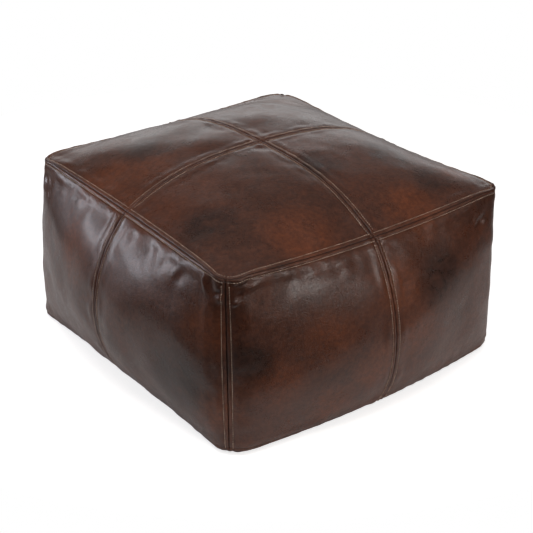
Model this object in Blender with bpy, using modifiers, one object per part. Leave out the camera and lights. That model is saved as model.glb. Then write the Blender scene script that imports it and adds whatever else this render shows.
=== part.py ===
"""Square leather pouf, 0.64 x 0.64 x 0.35 m.

A cover of sewn leather panels holds a calico bag packed with cotton. The cover is filled
through a coil zip that runs along the middle of the base. +Z is up, the front faces -Y and
the origin is the middle of the base, on the floor.
"""

import math

import bmesh
import bpy
import numpy as np

# --- Driving dimensions, in metres -------------------------------------------------------
TOP_HALF = 0.268  # middle to corner of the top seam, along X or Y
BASE_HALF = 0.271  # the same at the base seam
CORNER_BOW = 0.0045  # how far an upright corner seam swells at mid height
TOP_CORNER_Z = 0.299
TOP_EDGE_SAG = 0.010  # the top seam dips this far between its corners
TOP_EDGE_BOW = 0.0035
BASE_SEAM_Z = 0.0066
BASE_EDGE_BOW = 0.006
CROWN = 0.051  # rise of the top's middle above its corners
CROWN_POWER = 3.05
CROWN_ROLL = 0.945
BELLY = 0.040  # how far a side's middle swells past its seams
BELLY_ROUNDNESS = 0.5  # 0.5 makes a side's upright section half an ellipse
HEART = np.array((0.0, 0.0, 0.160))  # the point that the seam allowances turn in towards

LEATHER = 0.0018
GAP = 0.0005  # left between two panels along their seam
ALLOWANCE = 0.008  # width of leather turned in along a seam
STITCH_INSET = 0.008  # from a seam to the topstitching beside it
THREAD_RADIUS = 0.0004
CLEARANCE = 0.0003
ROW_END = 0.004  # a row of topstitching stops this far from the row that it meets

LINER = 0.0008
LINER_SCALE = np.array((0.960, 0.960, 0.930))
FILLING_SCALE = np.array((0.955, 0.955, 0.920))

# The zip lies in a shallow channel along the middle of the base, clear of the floor.
SLOT_HALF = 0.005
SLOT_END = 0.222  # the base panels come together past here
SLOT_CLOSED = 0.235
CHANNEL_HALF = 0.022
CHANNEL_RISE = 0.0059
CHANNEL_END = 0.245
CHANNEL_FADE = 0.018
ZIP_STITCH_X = 0.010

COIL_HALF_LENGTH = 0.212
COIL_INNER = 0.00065
COIL_OUTER = 0.0033
COIL_BOTTOM = 0.0055
COIL_TOP = 0.0077
TAPE_INNER = 0.0010
TAPE_OUTER = 0.0160
TAPE_THICKNESS = 0.0006
TAPE_HALF_LENGTH = 0.219
STOP_LENGTH = 0.0022

SLIDER_HALF_LENGTH = 0.0045
SLIDER_HALF_WIDTH = 0.0044
SLIDER_PLATE = 0.0009
SLIDER_FROM_STOP = 0.003
SLIDER_Y = COIL_HALF_LENGTH - SLIDER_HALF_LENGTH - SLIDER_FROM_STOP
POST_HALF = 0.00035
BAIL_HALF_WIDTH = 0.0008
BAIL_HALF_LENGTH = 0.0037
BAIL_LEG = 0.0010
BAIL_BAR = 0.0009
BAIL_OPENING = 0.0019  # room for the pull's crossbar under the bail
PULL_LENGTH = 0.026
PULL_HALF_WIDTH = 0.0035
PULL_THICKNESS = 0.0012
PULL_NECK_HALF = 0.0026
PULL_WINDOW_HALF = 0.0012
PULL_WINDOW_END = 0.0047

# Grid lines across half a face, from its middle (0) to its edge (1).
HALF_STATIONS = (0.0, 0.030, 0.23, 0.45, 0.67, 0.86, 0.970, 1.0)
BASE_RIM = HALF_STATIONS[-3]  # the base is flat up to here, and turns up past it
LINER_STATIONS = (-1.0, -0.72, -0.36, 0.0, 0.36, 0.72, 1.0)
UPRIGHT_SPANS = 5  # grid rows between the two stitch rows of a side panel
PROFILE_SAMPLES = 240

FACES = ("front", "right", "back", "left")  # each a quarter turn on from the one before


# --- The stuffed shape --------------------------------------------------------------------
def blend(low, high, share):
    return low + (high - low) * share


def smooth_step(value):
    value = min(max(value, 0.0), 1.0)
    return value * value * (3 - 2 * value)


def crown(share):
    return max(1 - abs(share) ** CROWN_POWER, 0.0) ** CROWN_ROLL


def top_point(a, b):
    """A point of the stuffed top; a and b run from -1 to 1 along X and Y."""
    x = a * (TOP_HALF + TOP_EDGE_BOW * (1 - b * b))
    y = b * (TOP_HALF + TOP_EDGE_BOW * (1 - a * a))
    sag = TOP_EDGE_SAG * ((1 - a * a) * b * b + (1 - b * b) * a * a)
    return np.array((x, y, TOP_CORNER_Z - sag + CROWN * crown(a) * crown(b)))


def turned(point, quarters):
    """The point turned about Z by a number of quarter turns."""
    x, y, z = point
    for _ in range(quarters):
        x, y = -y, x
    return np.array((x, y, z))


def side_point(face, s, t):
    """A point of a side; s is -1 to 1 from left to right from outside, t is 0 to 1 upwards."""
    swell = 4 * t * (1 - t)
    corner = blend(BASE_HALF, TOP_HALF, t) + CORNER_BOW * swell
    edge_bow = blend(BASE_EDGE_BOW, TOP_EDGE_BOW, t)
    out = corner + (1 - s * s) * (edge_bow + BELLY * swell**BELLY_ROUNDNESS)
    top = TOP_CORNER_Z - TOP_EDGE_SAG * (1 - s * s)
    point = (s * corner, -out, blend(BASE_SEAM_Z, top, t))
    return turned(point, FACES.index(face))


def base_point(a, b):
    """A point of the base without its zip channel: flat, and turned up to the base seam."""
    x = a * (BASE_HALF + BASE_EDGE_BOW * (1 - b * b))
    y = b * (BASE_HALF + BASE_EDGE_BOW * (1 - a * a))
    rim = (max(abs(a), abs(b)) - BASE_RIM) / (1 - BASE_RIM)
    return np.array((x, y, BASE_SEAM_Z * max(rim, 0.0) ** 2))


def channel_height(x, y):
    """Height of the leather over the floor in the zip channel."""
    across = smooth_step((CHANNEL_HALF - abs(x)) / (CHANNEL_HALF - SLOT_HALF))
    along = smooth_step((CHANNEL_END + CHANNEL_FADE - abs(y)) / CHANNEL_FADE)
    return CHANNEL_RISE * across * along


# --- Panels as grids of points --------------------------------------------------------------
def top_grid(x_sign, y_sign):
    """A quarter of the top, as rows of points from low Y to high Y and low X to high X."""
    columns = sorted(x_sign * share for share in HALF_STATIONS)
    rows = sorted(y_sign * share for share in HALF_STATIONS)
    return np.array([[top_point(a, b) for a in columns] for b in rows])


def along_profile(face, s):
    """Points up a side at one s: the stitch rows lie STITCH_INSET from the seams."""
    fine = np.array([side_point(face, s, 0.5 - 0.5 * math.cos(math.pi * k / PROFILE_SAMPLES))
                     for k in range(PROFILE_SAMPLES + 1)])
    steps = np.linalg.norm(np.diff(fine, axis=0), axis=1)
    length = np.concatenate(([0.0], np.cumsum(steps)))
    inner = np.linspace(STITCH_INSET, length[-1] - STITCH_INSET, UPRIGHT_SPANS + 1)
    stations = np.concatenate(([0.0], inner, [length[-1]]))
    return np.stack([np.interp(stations, length, fine[:, axis]) for axis in range(3)], axis=1)


def side_grid(face, s_sign):
    """Half of a side, as rows of points from the base seam up, each from left to right."""
    columns = sorted(s_sign * share for share in HALF_STATIONS)
    return np.stack([along_profile(face, s) for s in columns], axis=1)


def base_columns(x_sign):
    """The X stations of a base panel, from the zip slot to the outer seam."""
    channel = (ZIP_STITCH_X, (ZIP_STITCH_X + CHANNEL_HALF) / 2, CHANNEL_HALF)
    shares = [x / BASE_HALF for x in channel] + list(HALF_STATIONS[2:])
    return sorted(x_sign * share for share in [0.0] + shares)


def base_rows():
    ends = (SLOT_END, SLOT_CLOSED, CHANNEL_END, CHANNEL_END + CHANNEL_FADE)
    halves = [share for share in HALF_STATIONS if share != HALF_STATIONS[1]]
    halves = [share for share in halves if share != HALF_STATIONS[-2]]
    halves += [y / (BASE_HALF + BASE_EDGE_BOW) for y in ends]
    return sorted({sign * share for share in halves for sign in (-1, 1)})


def base_grid(x_sign):
    """Half of the base, seen from above: rows from low Y to high Y, each from low X to high X."""
    grid = np.array([[base_point(a, b) for a in base_columns(x_sign)] for b in base_rows()])
    slot = grid[:, -1 if x_sign < 0 else 0]
    for point in slot:
        if abs(point[1]) <= SLOT_END + CLEARANCE:
            point[0] = x_sign * SLOT_HALF
    for point in grid.reshape(-1, 3):
        point[2] += channel_height(point[0], point[1])
    return grid


def inset(grid, amount):
    """The grid with its border drawn back by the amount, along the surface."""
    result = grid.copy()
    for edge, inner in ((0, 1), (-1, -2)):
        for target, source, beside in (
            (result[edge], grid[edge], grid[inner]),
            (result[:, edge], grid[:, edge], grid[:, inner]),
        ):
            inward = beside - source
            target += amount * inward / np.linalg.norm(inward, axis=1, keepdims=True)
    return result


def corner_normals(grid):
    """Unit normals at a grid's points, facing the side from which its rows run left to right."""
    along_row = np.gradient(grid, axis=1)
    along_column = np.gradient(grid, axis=0)
    normals = np.cross(along_row, along_column)
    return normals / np.linalg.norm(normals, axis=2, keepdims=True)


# --- Objects --------------------------------------------------------------------------------
for leftover in list(bpy.data.objects):
    bpy.data.objects.remove(leftover, do_unlink=True)

pouf = bpy.data.collections.new("leather_pouf")
bpy.context.scene.collection.children.link(pouf)


def new_material(name, colour, roughness, metallic=0.0):
    material = bpy.data.materials.new(name)
    material.use_nodes = True
    shader = material.node_tree.nodes["Principled BSDF"]
    shader.inputs["Base Color"].default_value = (*colour, 1.0)
    shader.inputs["Roughness"].default_value = roughness
    shader.inputs["Metallic"].default_value = metallic
    return material


leather = new_material("antiqued_leather", (0.075, 0.028, 0.014), 0.33)
base_leather = new_material("base_leather", (0.030, 0.018, 0.013), 0.55)
thread = new_material("waxed_thread", (0.25, 0.13, 0.06), 0.6)
calico = new_material("calico", (0.62, 0.55, 0.42), 0.9)
cotton = new_material("cotton_filling", (0.80, 0.77, 0.70), 0.95)
zip_cloth = new_material("zip_tape", (0.040, 0.022, 0.015), 0.85)
zip_nylon = new_material("zip_coil", (0.050, 0.028, 0.018), 0.45)
zip_brass = new_material("antique_brass", (0.30, 0.20, 0.09), 0.35, 1.0)


def finished(name, mesh, material, location=(0.0, 0.0, 0.0)):
    """An object in the pouf's collection, with its material."""
    mesh.materials.append(material)
    obj = bpy.data.objects.new(name, mesh)
    obj.location = location
    pouf.objects.link(obj)
    return obj


def grid_mesh(name, grid, flanges=()):
    """A mesh through the grid's points, with seam allowances turned in along the named edges."""
    rows, columns = grid.shape[:2]
    bm = bmesh.new()
    bmesh.ops.create_grid(bm, x_segments=columns - 1, y_segments=rows - 1, size=1.0)
    corner = {}
    for vertex in bm.verts:
        column = round((vertex.co.x + 1) / 2 * (columns - 1))
        row = round((vertex.co.y + 1) / 2 * (rows - 1))
        corner[vertex] = (row, column)
        vertex.co = grid[row, column]
    on_edge = {
        "left": lambda place: place[1] == 0,
        "right": lambda place: place[1] == columns - 1,
        "low": lambda place: place[0] == 0,
        "high": lambda place: place[0] == rows - 1,
    }
    border = [edge for edge in bm.edges
              if any(all(on_edge[flange](corner[v]) for v in edge.verts) for flange in flanges)]
    if border:
        grown = bmesh.ops.extrude_edge_only(bm, edges=border)["geom"]
        for vertex in (item for item in grown if isinstance(item, bmesh.types.BMVert)):
            place = np.array(vertex.co)
            inward = HEART - place
            vertex.co = place + ALLOWANCE * inward / np.linalg.norm(inward)
    mesh = bpy.data.meshes.new(name)
    bm.to_mesh(mesh)
    bm.free()
    mesh.shade_smooth()
    return mesh


def thicken(obj, thickness):
    """Gives a sheet its thickness, behind the face that its normals point out of."""
    solidify = obj.modifiers.new("thickness", "SOLIDIFY")
    solidify.thickness = thickness
    solidify.offset = -1.0
    solidify.use_even_offset = True


def leather_panel(name, grid, flanges, material=leather):
    grid = inset(grid, GAP / 2)
    thicken(finished(name, grid_mesh(name, grid, flanges), material), LEATHER)
    return grid


def thread_row(name, points, cyclic=False):
    """A row of topstitching, as one cord through the points."""
    curve = bpy.data.curves.new(name, "CURVE")
    curve.dimensions = "3D"
    curve.bevel_depth = THREAD_RADIUS
    curve.bevel_resolution = 0
    curve.use_fill_caps = True
    spline = curve.splines.new("POLY")
    spline.points.add(len(points) - 1)
    for target, point in zip(spline.points, points):
        target.co = (*point, 1.0)
    spline.use_cyclic_u = cyclic
    return finished(name, curve, thread)


def over_leather(grid):
    """The grid's points, lifted off the leather by a thread's radius and a small clearance."""
    return grid + (THREAD_RADIUS + CLEARANCE) * corner_normals(grid)


def shortened(points, start, end):
    """The points with their first and last one drawn in along the line by these lengths."""
    points = [np.array(point) for point in points]
    for amount, index, beside in ((start, 0, 1), (end, -1, -2)):
        span = points[beside] - points[index]
        points[index] = points[index] + amount * span / np.linalg.norm(span)
    return points


def box(name, low, high):
    """A closed box between two corners."""
    bm = bmesh.new()
    bmesh.ops.create_cube(bm, size=1.0)
    low, high = np.array(low), np.array(high)
    for vertex in bm.verts:
        vertex.co = (low + high) / 2 + np.array(vertex.co) * (high - low)
    mesh = bpy.data.meshes.new(name)
    bm.to_mesh(mesh)
    bm.free()
    return mesh


def united(name, meshes, material, location):
    """The meshes joined into one closed body by Boolean unions."""
    first = finished(name, meshes[0], material, location)
    for index, mesh in enumerate(meshes[1:]):
        piece = bpy.data.objects.new(f"{name}_shape_{index}", mesh)
        piece.location = location
        piece.hide_render = True
        piece.display_type = "WIRE"
        shapes.objects.link(piece)
        union = first.modifiers.new(f"join_{index}", "BOOLEAN")
        union.operation = "UNION"
        union.solver = "EXACT"
        union.object = piece
    return first


shapes = bpy.data.collections.new("joined_shapes")
bpy.context.scene.collection.children.link(shapes)

# --- Leather cover ----------------------------------------------------------------------------
QUARTERS = {"front_left": (-1, -1), "front_right": (1, -1),
            "back_left": (-1, 1), "back_right": (1, 1)}
ALL_ROUND = ("left", "right", "low", "high")
top_grids = {}
for corner_name, (x_sign, y_sign) in QUARTERS.items():
    top_grids[corner_name] = leather_panel(
        f"top_panel_{corner_name}", top_grid(x_sign, y_sign), ALL_ROUND)

# The two halves of each side, first the one on the left as seen from outside.
HALVES = {"front": ("left", "right"), "right": ("front", "back"),
          "back": ("right", "left"), "left": ("back", "front")}
side_grids = {}
for face, halves in HALVES.items():
    for s_sign, half in zip((-1, 1), halves):
        side_grids[face, s_sign] = leather_panel(
            f"{face}_panel_{half}", side_grid(face, s_sign), ALL_ROUND)

base_grids = {}
for half, x_sign, outer_from_below in (("left", -1, "right"), ("right", 1, "left")):
    seen_from_below = base_grid(x_sign)[:, ::-1]
    base_grids[half] = leather_panel(
        f"base_panel_{half}", seen_from_below, (outer_from_below, "low", "high"), base_leather)

# --- Topstitching: a row on each side of every seam --------------------------------------------
lifted = {key: over_leather(grid) for key, grid in top_grids.items()}

# The seam along Y is sewn last, so its two rows run right across the top.
for half, index in (("left", -2), ("right", 1)):
    front = lifted[f"front_{half}"][:, index]
    back = lifted[f"back_{half}"][:, index]
    points = list(front[1:]) + list(back[:-1])
    thread_row(f"topstitch_long_{half}", shortened(points, ROW_END, ROW_END))

for corner_name, (x_sign, y_sign) in QUARTERS.items():
    row = lifted[corner_name][-2 if y_sign < 0 else 1]
    thread_row(f"topstitch_cross_{corner_name}", shortened(row[1:-1], ROW_END, ROW_END))

rim = list(lifted["front_left"][1, 1:]) + list(lifted["front_right"][1, :-1])
rim += list(lifted["front_right"][2:, -2]) + list(lifted["back_right"][:-1, -2])
rim += list(lifted["back_right"][-2, -3::-1]) + list(lifted["back_left"][-2, :0:-1])
rim += list(lifted["back_left"][-3::-1, 1]) + list(lifted["front_left"][:1:-1, 1])
thread_row("topstitch_rim_top", rim, cyclic=True)

lifted_sides = {key: over_leather(grid) for key, grid in side_grids.items()}
collar = [point for face in FACES for s_sign in (-1, 1) for point in lifted_sides[face, s_sign][-2]]
thread_row("topstitch_rim_sides", collar, cyclic=True)

for face, halves in HALVES.items():
    for s_sign, half in zip((-1, 1), halves):
        grid = lifted_sides[face, s_sign]
        middle, corner_column = (-2, 1) if s_sign < 0 else (1, -2)
        for seam, column in (("middle", middle), ("corner", corner_column)):
            points = shortened(grid[1:-1, column], -ROW_END, ROW_END)
            thread_row(f"topstitch_{face}_{half}_{seam}", points)

for half in ("left", "right"):
    grid = over_leather(base_grids[half])
    column = 1 if half == "left" else -2
    beside_zip = [point for point in grid[:, column] if abs(point[1]) < SLOT_CLOSED]
    thread_row(f"zip_stitch_{half}", beside_zip)

# --- Zip ----------------------------------------------------------------------------------------
TAPE_GAP = LEATHER + CLEARANCE


def tape_grid(x_sign):
    """A zip tape: it lies on the inside of the leather, and straight over the slot."""
    columns = sorted(x_sign * x for x in (TAPE_INNER, SLOT_HALF, ZIP_STITCH_X, TAPE_OUTER))
    rows = (-TAPE_HALF_LENGTH, TAPE_HALF_LENGTH)
    return np.array([[(x, y, channel_height(max(abs(x), SLOT_HALF), 0.0) + TAPE_GAP
                       + TAPE_THICKNESS) for x in columns] for y in rows])


for half, sign in (("left", -1), ("right", 1)):
    tape = finished(f"zip_tape_{half}", grid_mesh(f"zip_tape_{half}", tape_grid(sign)), zip_cloth)
    thicken(tape, TAPE_THICKNESS)
    near, far = sorted((sign * COIL_INNER, sign * COIL_OUTER))
    finished(f"zip_coil_{half}",
             box(f"zip_coil_{half}", (near, -COIL_HALF_LENGTH, COIL_BOTTOM),
                 (far, COIL_HALF_LENGTH, COIL_TOP)), zip_nylon)
    stop_start = COIL_HALF_LENGTH + CLEARANCE
    finished(f"zip_top_stop_{half}",
             box(f"zip_top_stop_{half}", (near, stop_start, COIL_BOTTOM),
                 (far, stop_start + STOP_LENGTH, COIL_TOP)), zip_brass)
finished("zip_bottom_stop",
         box("zip_bottom_stop", (-COIL_OUTER, -stop_start - STOP_LENGTH, COIL_BOTTOM),
             (COIL_OUTER, -stop_start, COIL_TOP)), zip_brass)

# The slider's origin is on its line of travel, at the height of the pull's crossbar.
plate_low = COIL_BOTTOM - CLEARANCE - SLIDER_PLATE
pivot_z = plate_low - BAIL_OPENING / 2
plate_high = COIL_TOP + CLEARANCE + TAPE_THICKNESS + CLEARANCE
W, L = SLIDER_HALF_WIDTH, SLIDER_HALF_LENGTH
OVERLAP = 0.0002  # joined shapes run this far into each other


def around_pivot(low, high):
    return [(x, y, z - pivot_z) for x, y, z in (low, high)]


slider_shapes = [
    ((-W, -L, plate_low), (W, L, plate_low + SLIDER_PLATE)),
    ((-W, -L, plate_high), (W, L, plate_high + SLIDER_PLATE)),
    ((-POST_HALF, L / 2, plate_low + OVERLAP), (POST_HALF, L - OVERLAP, plate_high + OVERLAP)),
]
for sign in (-1, 1):
    near, far = sorted((sign * (COIL_OUTER + CLEARANCE), sign * (W - OVERLAP / 2)))
    slider_shapes.append(((near, -L + OVERLAP, plate_low + OVERLAP), (far, L - OVERLAP, COIL_TOP)))
    near, far = sorted((sign * (BAIL_HALF_LENGTH - BAIL_LEG), sign * BAIL_HALF_LENGTH))
    slider_shapes.append(((-BAIL_HALF_WIDTH, near, plate_low - BAIL_OPENING - BAIL_BAR),
                          (BAIL_HALF_WIDTH, far, plate_low + OVERLAP)))
slider_shapes.append(((-BAIL_HALF_WIDTH + OVERLAP / 2, -BAIL_HALF_LENGTH + OVERLAP,
                       plate_low - BAIL_OPENING - BAIL_BAR + OVERLAP / 4),
                      (BAIL_HALF_WIDTH - OVERLAP / 2, BAIL_HALF_LENGTH - OVERLAP,
                       plate_low - BAIL_OPENING)))
united("zip_slider",
       [box(f"slider_{index}", *around_pivot(low, high))
        for index, (low, high) in enumerate(slider_shapes)],
       zip_brass, (0.0, SLIDER_Y, pivot_z))


def pull_mesh():
    """The pull, a flat tab with a window that the bail passes through; its end bar is the pivot."""
    half = PULL_THICKNESS / 2
    outline = [(-PULL_NECK_HALF, half), (-PULL_HALF_WIDTH, -PULL_WINDOW_END - 2 * half)]
    outline += [(-PULL_HALF_WIDTH, -PULL_LENGTH + PULL_HALF_WIDTH / 2),
                (-PULL_HALF_WIDTH / 2, -PULL_LENGTH)]
    outline += [(-x, y) for x, y in reversed(outline)]
    window = [(-PULL_WINDOW_HALF, -half), (PULL_WINDOW_HALF, -half),
              (PULL_WINDOW_HALF, -PULL_WINDOW_END), (-PULL_WINDOW_HALF, -PULL_WINDOW_END)]
    curve = bpy.data.curves.new("zip_pull", "CURVE")
    curve.dimensions = "2D"
    curve.fill_mode = "BOTH"
    curve.extrude = half
    for loop in (outline, window):
        spline = curve.splines.new("POLY")
        spline.points.add(len(loop) - 1)
        for target, (x, y) in zip(spline.points, loop):
            target.co = (x, y, 0.0, 1.0)
        spline.use_cyclic_u = True
    return curve


finished("zip_pull", pull_mesh(), zip_brass, (0.0, SLIDER_Y, pivot_z))

# --- Calico bag and its filling -------------------------------------------------------------------
def shrunk(grid, scale):
    return HEART + (grid - HEART) * scale


def whole_face(face):
    """One face of the stuffed shape as a grid that is seen from outside."""
    if face == "top":
        return np.array([[top_point(a, b) for a in LINER_STATIONS] for b in LINER_STATIONS])
    if face == "base":
        return np.array([[base_point(-a, b) for a in LINER_STATIONS] for b in LINER_STATIONS])
    return np.array([[side_point(face, s, 0.5 + t / 2) for s in LINER_STATIONS]
                     for t in LINER_STATIONS])


for face in (*FACES, "top", "base"):
    name = f"liner_{face}"
    sheet = inset(shrunk(whole_face(face), LINER_SCALE), LINER + CLEARANCE)
    thicken(finished(name, grid_mesh(name, sheet), calico), LINER)

filling = bmesh.new()
for face in (*FACES, "top", "base"):
    part = grid_mesh(f"filling_{face}", shrunk(whole_face(face), FILLING_SCALE))
    filling.from_mesh(part)
    bpy.data.meshes.remove(part)
bmesh.ops.remove_doubles(filling, verts=filling.verts, dist=1e-5)
filling_mesh = bpy.data.meshes.new("cotton_filling")
filling.to_mesh(filling_mesh)
filling.free()
filling_mesh.shade_smooth()
finished("cotton_filling", filling_mesh, cotton)
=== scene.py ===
"""A square Moroccan pouf: panels of antiqued leather, double topstitched, stuffed tight."""

import math

import bmesh
import bpy
import numpy as np
from mathutils import Matrix, Quaternion, Vector


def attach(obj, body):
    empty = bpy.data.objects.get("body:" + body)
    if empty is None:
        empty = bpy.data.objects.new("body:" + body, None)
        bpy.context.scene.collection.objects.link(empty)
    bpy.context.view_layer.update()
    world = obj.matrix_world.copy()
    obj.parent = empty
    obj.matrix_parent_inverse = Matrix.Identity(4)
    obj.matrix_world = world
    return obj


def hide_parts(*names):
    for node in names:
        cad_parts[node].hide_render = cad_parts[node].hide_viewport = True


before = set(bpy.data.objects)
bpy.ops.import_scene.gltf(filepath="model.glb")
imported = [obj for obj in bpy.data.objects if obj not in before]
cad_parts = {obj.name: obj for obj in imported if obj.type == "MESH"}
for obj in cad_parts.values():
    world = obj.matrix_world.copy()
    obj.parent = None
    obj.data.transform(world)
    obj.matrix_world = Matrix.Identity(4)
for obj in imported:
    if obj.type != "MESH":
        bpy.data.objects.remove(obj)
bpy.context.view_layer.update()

# ---- The stuffed shape, in metres. Front faces -Y, left faces -X. ----
FACES = ("front", "right", "back", "left")  # each a quarter turn on from the one before
TOP_HALF = 0.2676  # middle to corner of the top seam, along X or Y
BASE_HALF = 0.2744
CORNER_BOW = 0.0005
TOP_CORNER_Z = 0.3018
BASE_SEAM_Z = 0.0066
CROWN = 0.0472
CROWN_POWER = 3.34
CROWN_ROLL = 1.16
EDGE_DIP = {"front": -0.0142, "right": -0.0218, "back": -0.0037, "left": -0.0042}
TOP_BOW = {"front": 0.0001, "right": 0.0147, "back": -0.0071, "left": -0.0104}
BASE_BOW = {"front": 0.0188, "right": 0.0094, "back": 0.0094, "left": -0.0116}
BELLY = {"front": 0.0449, "right": 0.0323, "back": 0.0296, "left": 0.0612}
BELLY_ROUNDNESS = 0.84
BELLY_SAG = 0.97  # below 1 the belly hangs lower than the middle
CORNER_SHIFT = {  # (x sign, y sign, z sign): how far hand stuffing has pushed that corner
    (-1, -1, 1): (-0.0007, -0.0104, -0.0083),
    (-1, 1, 1): (0.0070, 0.0047, -0.0018),
    (1, -1, 1): (0.0052, -0.0044, -0.0044),
    (1, 1, 1): (-0.0125, 0.0081, 0.0112),
    (-1, -1, -1): (0.0085, -0.0045, -0.0010),
    (-1, 1, -1): (-0.0023, 0.0024, -0.0020),
    (1, -1, -1): (0.0125, 0.0040, 0.0015),
    (1, 1, -1): (0.0000, 0.0000, 0.0000),
}
TOP_FILLET = {(-1, -1): 0.036, (1, -1): 0.026, (-1, 1): 0.028, (1, 1): 0.034}  # by X and Y sign
BASE_FILLET = {(-1, -1): 0.036, (1, -1): 0.036, (-1, 1): 0.026, (1, 1): 0.030}
TIP_SPREAD = 0.11  # the tip of each corner droops, within this share of a half side,
TIP_DEPTH = 0.60  # and this share of half the height
TIP_DROOP = {1: 0.0055, -1: 0.0025}  # top corners sink by this, base corners rise

LEATHER = 0.0018
ALLOWANCE = 0.007
ZIP_ALLOWANCE = 0.0006
STITCH_INSET = 0.0065
STITCH_PITCH = 0.0040
THREAD_RADIUS = 0.00056

CAGE = 64  # cells across a face
CAGE_UP = 40  # cells up a side
BASE_RIM = 0.12  # the share of a half side over which the base rises to its seam
SEAM_REACH = 2.5  # cells beside a seam that it draws in

# The zip lies in a shallow channel along the middle of the base.
SLOT_HALF = 0.005
SLOT_END = 0.2158
SLOT_CLOSED = 0.2240
CHANNEL_HALF = 0.022
CHANNEL_RISE = 0.0059
CHANNEL_END = 0.245
CHANNEL_FADE = 0.018
CHANNEL_LIP = 0.006
ZIP_BAND, ZIP_BAND_FADE = 0.045, 0.030  # the leather beside the zip that lies straight along it
SEAM_BAND = 0.120  # the width over which a straightened seam takes the base with it
ZIP_STITCH_X = 0.010
SEAM_STRAIGHT_END, SEAM_BEND = 0.225, 0.045  # the base seam bends to meet those of the sides

CLOTH_FRAMES = 20
CLOTH_BENDING = 0.5
CLOTH_PRESSURE = 8.0
CLOTH_EXCESS = -0.03  # the leather between the seams has a little to spare
CLOTH_DRAWN = 0.05  # the thread draws each seam in by this share
WRINKLE_LIMIT = 0.0035
WRINKLES_LYING, WRINKLES_UPRIGHT = 0.22, 0.24  # share of them kept on the top and the sides
WRINKLES_AT_SEAM = 0.15
FINE_PASSES, COARSE_PASSES = 5, 110  # of smoothing: the wrinkles are what lies between the two


def lerp(low, high, share):
    return low + (high - low) * share


def crown(share):
    return np.clip(1 - np.abs(share) ** CROWN_POWER, 0, None) ** CROWN_ROLL


def shifted(x, y, z, a, b, c):
    """The points with the shifts of the eight corners mixed in; a, b and c run from -1 to 1."""
    moved = np.stack(np.broadcast_arrays(x, y, z), axis=-1)
    for (sx, sy, sz), shift in CORNER_SHIFT.items():
        weight = (1 + sx * a) * (1 + sy * b) * (1 + sz * c) / 8
        off = ((1 - sx * a) ** 2 + (1 - sy * b) ** 2) / TIP_SPREAD**2
        off = off + ((1 - sz * c) / TIP_DEPTH) ** 2
        droop = np.array((0.0, 0.0, -sz * TIP_DROOP[sz]))
        moved = moved + weight[..., None] * np.array(shift) + np.exp(-off)[..., None] * droop
    return moved


def rounded(points, a, b, height):
    """Rounds the upright corners: near one, the square footprint is bent onto a quarter disc."""
    top, base = (sum((1 + sx * a) * (1 + sy * b) / 4 * radius for (sx, sy), radius in fillet.items())
                 for fillet in (TOP_FILLET, BASE_FILLET))
    radius = lerp(base, top, height)
    near_a = np.clip(1 - (1 - np.abs(a)) * TOP_HALF / radius, 0, 1)
    near_b = np.clip(1 - (1 - np.abs(b)) * TOP_HALF / radius, 0, 1)
    ring = np.maximum(near_a, near_b)  # lines at one distance from the seam become arcs
    turn = math.pi / 4 * np.minimum(near_a, near_b) / np.maximum(ring, 1e-9)
    along, across = ring * np.cos(turn), ring * np.sin(turn)
    inward_a = radius * (near_a - np.where(near_a > near_b, along, across))
    inward_b = radius * (near_b - np.where(near_a > near_b, across, along))
    points = points.copy()
    points[..., 0] -= np.sign(a) * inward_a
    points[..., 1] -= np.sign(b) * inward_b
    return points


def bowed(a, b, half, bow):
    """X and Y on a square whose sides bow outwards."""
    bow_x = np.where(a < 0, bow["left"], bow["right"])
    bow_y = np.where(b < 0, bow["front"], bow["back"])
    return a * (half + bow_x * (1 - b * b)), b * (half + bow_y * (1 - a * a))


def top_surface(a, b):
    front, left = (1 - b) / 2, (1 - a) / 2
    x, y = bowed(a, b, TOP_HALF, TOP_BOW)
    dip_y = (1 - a * a) * b * b * lerp(EDGE_DIP["back"], EDGE_DIP["front"], front)
    dip_x = (1 - b * b) * a * a * lerp(EDGE_DIP["right"], EDGE_DIP["left"], left)
    z = TOP_CORNER_Z + dip_y + dip_x + CROWN * crown(a) * crown(b)
    return rounded(shifted(x, y, z, a, b, np.ones_like(z)), a, b, 1.0)


def side_surface(face, s, t):
    """s runs -1 to 1 from left to right from outside, t runs 0 to 1 upwards."""
    swell = np.clip(4 * t * (1 - t), 0, 1)
    skewed = np.clip(t, 0, 1) ** BELLY_SAG
    belly = np.clip(4 * skewed * (1 - skewed), 0, 1) ** BELLY_ROUNDNESS
    corner = lerp(BASE_HALF, TOP_HALF, t) + CORNER_BOW * swell
    bow = lerp(BASE_BOW[face], TOP_BOW[face], t)
    out = corner + (1 - s * s) * (bow + BELLY[face] * belly)
    across = s * corner
    z = lerp(BASE_SEAM_Z, TOP_CORNER_Z + EDGE_DIP[face] * (1 - s * s), t)
    one = np.ones_like(s)
    x, y, a, b = {
        "front": (across, -out, s, -one),
        "right": (out, across, one, s),
        "back": (-across, out, -s, one),
        "left": (-out, -across, -one, -s),
    }[face]
    return rounded(shifted(x, y, z, a, b, 2 * t - 1), a, b, np.clip(t, 0, 1) ** 2)


def base_surface(a, b):
    x, y = bowed(a, b, BASE_HALF, BASE_BOW)
    rim = np.clip((np.maximum(np.abs(a), np.abs(b)) - (1 - BASE_RIM)) / BASE_RIM, 0, 1)
    z = BASE_SEAM_Z * rim * rim
    return rounded(shifted(x, y, z, a, b, -np.ones_like(z)), a, b, 0.0)


def running_length(line):
    steps = np.linalg.norm(np.diff(line, axis=0), axis=1)
    return np.concatenate(([0.0], np.cumsum(steps)))


def at_length(line, length, where):
    """The line's values at one place or several, given the running length at its points."""
    return np.stack([np.interp(where, length, line[:, k]) for k in range(3)], axis=-1)


def evened(line, shares):
    """The line resampled at shares of its whole length."""
    length = running_length(line)
    return at_length(line, length, shares * length[-1])


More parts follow.
